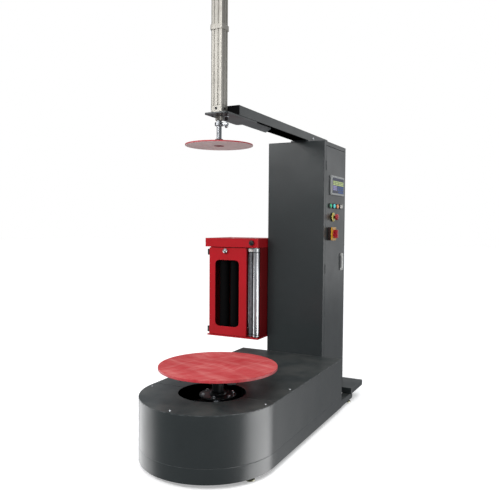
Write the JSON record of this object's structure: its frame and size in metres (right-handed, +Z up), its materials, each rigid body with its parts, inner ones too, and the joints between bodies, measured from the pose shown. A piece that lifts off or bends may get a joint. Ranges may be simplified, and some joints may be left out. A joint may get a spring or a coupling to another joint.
{
  "type": "turntable stretch wrapper",
  "caption": "Compact turntable stretch wrapper: low round-nosed base, spinning table, column with a lifting film carriage, and an overhead arm with an air-driven press disc.",
  "frame": {"origin": "middle of the bounding box on the floor", "axes": "+Z up, +Y from the turntable towards the column, +X towards the side with the control door"},
  "size_m": [0.925, 1.798, 2.64],
  "materials": {
    "charcoal_powder_coat": "textured powder coat",
    "carriage_red_paint": "smooth powder coat",
    "turntable_red_paint": "scuffed paint",
    "press_disc_red_paint": "worn paint",
    "machined_steel": "machined",
    "chromed_steel": "polished",
    "anodised_aluminium": "clear anodised",
    "motor_casting": "painted casting",
    "roller_rubber": "matt",
    "black_plastic": "satin",
    "panel_grey_plastic": "semi-gloss",
    "signal_red_plastic": "semi-gloss",
    "signal_yellow_plastic": "semi-gloss",
    "green_lens": "gloss",
    "cyan_lens": "gloss",
    "orange_lens": "gloss"
  },
  "bodies": {
    "root": {"base_skirt": "charcoal_powder_coat", "front_cover": "charcoal_powder_coat", "rear_cover": "charcoal_powder_coat", "chassis_frame": "charcoal_powder_coat", "rear_stabilizer": "charcoal_powder_coat", "foot_front": "machined_steel", "foot_left_side": "machined_steel", "foot_right_side": "machined_steel", "foot_rear_left": "machined_steel", "foot_rear_right": "machined_steel", "turntable_bearing_housing": "motor_casting", "turntable_gearmotor": "motor_casting", "drive_chain": "machined_steel", "column_front_panel": "charcoal_powder_coat", "column_rear_panel": "charcoal_powder_coat", "column_left_panel": "charcoal_powder_coat", "column_top_cap": "charcoal_powder_coat", "mast": "machined_steel", "lift_gearmotor": "motor_casting", "lift_chain": "machined_steel", "arm_channel": "charcoal_powder_coat", "cylinder_mount_plate": "charcoal_powder_coat", "cylinder_front_cap": "anodised_aluminium", "cylinder_tube": "anodised_aluminium", "cylinder_band": "anodised_aluminium", "cylinder_rear_cap": "anodised_aluminium", "home_switch": "black_plastic"},
    "turntable": {"turntable_plate": "turntable_red_paint", "turntable_spider": "charcoal_powder_coat", "turntable_shaft": "machined_steel", "turntable_sprocket": "machined_steel"},
    "turntable_drive": {"drive_sprocket": "machined_steel"},
    "press_rod": {"press_rod": "chromed_steel", "rod_clamp": "machined_steel"},
    "press_disc": {"press_disc": "press_disc_red_paint", "press_disc_hub": "charcoal_powder_coat"},
    "lift_idler": {"lift_idler_sprocket": "machined_steel"},
    "lift_drive": {"lift_drive_sprocket": "machined_steel"},
    "carriage": {"carriage_shell": "carriage_red_paint", "carriage_floor": "carriage_red_paint", "carriage_top_box": "carriage_red_paint", "carriage_bracket": "machined_steel"},
    "stretch_roller_left": {"stretch_roller_left": "roller_rubber"},
    "stretch_roller_right": {"stretch_roller_right": "roller_rubber"},
    "exit_roller": {"exit_roller": "chromed_steel"},
    "idler_roller": {"idler_roller": "machined_steel"},
    "film_mandrel": {"film_mandrel": "anodised_aluminium"},
    "tension_knob": {"tension_knob": "black_plastic"},
    "film_door": {"film_door": "carriage_red_paint"},
    "film_door_latch": {"film_door_latch": "chromed_steel"},
    "column_door": {"column_door": "charcoal_powder_coat", "operator_panel": "panel_grey_plastic", "main_switch_base": "signal_yellow_plastic"},
    "start_button": {"start_button": "green_lens"},
    "reset_button": {"reset_button": "cyan_lens"},
    "stop_button": {"stop_button": "orange_lens"},
    "selector_switch": {"selector_switch": "panel_grey_plastic"},
    "emergency_stop": {"emergency_stop": "signal_red_plastic"},
    "main_switch_handle": {"main_switch_handle": "signal_red_plastic"},
    "door_handle": {"door_handle": "panel_grey_plastic"}
  },
  "joints": [
    {"name": "turntable_spin", "type": "hinge", "parent": "root", "child": "turntable", "pos_m": [0.1075, -0.476, 0.3], "axis": [0, 0, 1], "continuous": true},
    {"name": "turntable_drive_spin", "type": "hinge", "parent": "root", "child": "turntable_drive", "pos_m": [0.1075, -0.056, 0.257], "axis": [0, 0, 1], "continuous": true},
    {"name": "press_stroke", "type": "slide", "parent": "root", "child": "press_rod", "axis": [0, 0, -1], "range_m": [0, 0.8]},
    {"name": "press_disc_spin", "type": "hinge", "parent": "press_rod", "child": "press_disc", "pos_m": [0.1075, -0.476, 1.556], "axis": [0, 0, 1], "continuous": true},
    {"name": "carriage_lift", "type": "slide", "parent": "root", "child": "carriage", "axis": [0, 0, 1], "range_m": [-0.06, 0.6]},
    {"name": "lift_drive_spin", "type": "hinge", "parent": "root", "child": "lift_drive", "pos_m": [0.0325, 0.615, 0.43], "axis": [0, 1, 0], "continuous": true},
    {"name": "lift_idler_spin", "type": "hinge", "parent": "root", "child": "lift_idler", "pos_m": [0.0325, 0.615, 1.6], "axis": [0, 1, 0], "continuous": true},
    {"name": "stretch_left_spin", "type": "hinge", "parent": "carriage", "child": "stretch_roller_left", "pos_m": [-0.3445, 0.39, 0.7], "axis": [0, 0, 1], "continuous": true},
    {"name": "stretch_right_spin", "type": "hinge", "parent": "carriage", "child": "stretch_roller_right", "pos_m": [-0.2645, 0.39, 0.7], "axis": [0, 0, 1], "continuous": true},
    {"name": "exit_roller_spin", "type": "hinge", "parent": "carriage", "child": "exit_roller", "pos_m": [-0.0925, 0.358, 0.7], "axis": [0, 0, 1], "continuous": true},
    {"name": "idler_roller_spin", "type": "hinge", "parent": "carriage", "child": "idler_roller", "pos_m": [-0.1365, 0.372, 0.7], "axis": [0, 0, 1], "continuous": true},
    {"name": "film_mandrel_spin", "type": "hinge", "parent": "carriage", "child": "film_mandrel", "pos_m": [-0.2925, 0.536, 0.5], "axis": [0, 0, 1], "continuous": true},
    {"name": "tension_knob_turn", "type": "hinge", "parent": "carriage", "child": "tension_knob", "pos_m": [-0.1105, 0.324, 1.044], "axis": [0, 1, 0], "range_deg": [-135, 135]},
    {"name": "film_door_swing", "type": "hinge", "parent": "carriage", "child": "film_door", "pos_m": [-0.4335, 0.342, 0.7], "axis": [0, 0, -1], "range_deg": [0, 115]},
    {"name": "film_door_latch_pull", "type": "slide", "parent": "film_door", "child": "film_door_latch", "axis": [0, -1, 0], "range_m": [0, 0.008], "stiffness_N_per_m": 500},
    {"name": "column_door_swing", "type": "hinge", "parent": "root", "child": "column_door", "pos_m": [0.322, 0.501, 0.9], "axis": [0, 0, -1], "range_deg": [0, 95]},
    {"name": "start_press", "type": "slide", "parent": "column_door", "child": "start_button", "axis": [-1, 0, 0], "range_m": [0, 0.004], "stiffness_N_per_m": 600},
    {"name": "reset_press", "type": "slide", "parent": "column_door", "child": "reset_button", "axis": [-1, 0, 0], "range_m": [0, 0.004], "stiffness_N_per_m": 600},
    {"name": "stop_press", "type": "slide", "parent": "column_door", "child": "stop_button", "axis": [-1, 0, 0], "range_m": [0, 0.004], "stiffness_N_per_m": 600},
    {"name": "selector_turn", "type": "hinge", "parent": "column_door", "child": "selector_switch", "pos_m": [0.3215, 0.782, 1.286], "axis": [1, 0, 0], "range_deg": [-45, 45]},
    {"name": "emergency_stop_press", "type": "slide", "parent": "column_door", "child": "emergency_stop", "axis": [-1, 0, 0], "range_m": [0, 0.008]},
    {"name": "main_switch_turn", "type": "hinge", "parent": "column_door", "child": "main_switch_handle", "pos_m": [0.3475, 0.596, 1.106], "axis": [1, 0, 0], "range_deg": [-90, 0]},
    {"name": "door_handle_turn", "type": "hinge", "parent": "column_door", "child": "door_handle", "pos_m": [0.3275, 0.82, 0.96], "axis": [1, 0, 0], "range_deg": [-90, 0]}
  ],
  "couplings": [
    {"joint": "turntable_drive_spin", "follows": "turntable_spin", "ratio": 2.1333},
    {"joint": "lift_drive_spin", "follows": "carriage_lift", "rad_per_m": 30.303},
    {"joint": "lift_idler_spin", "follows": "carriage_lift", "rad_per_m": 30.303},
    {"joint": "stretch_right_spin", "follows": "stretch_left_spin", "ratio": -1}
  ]
}
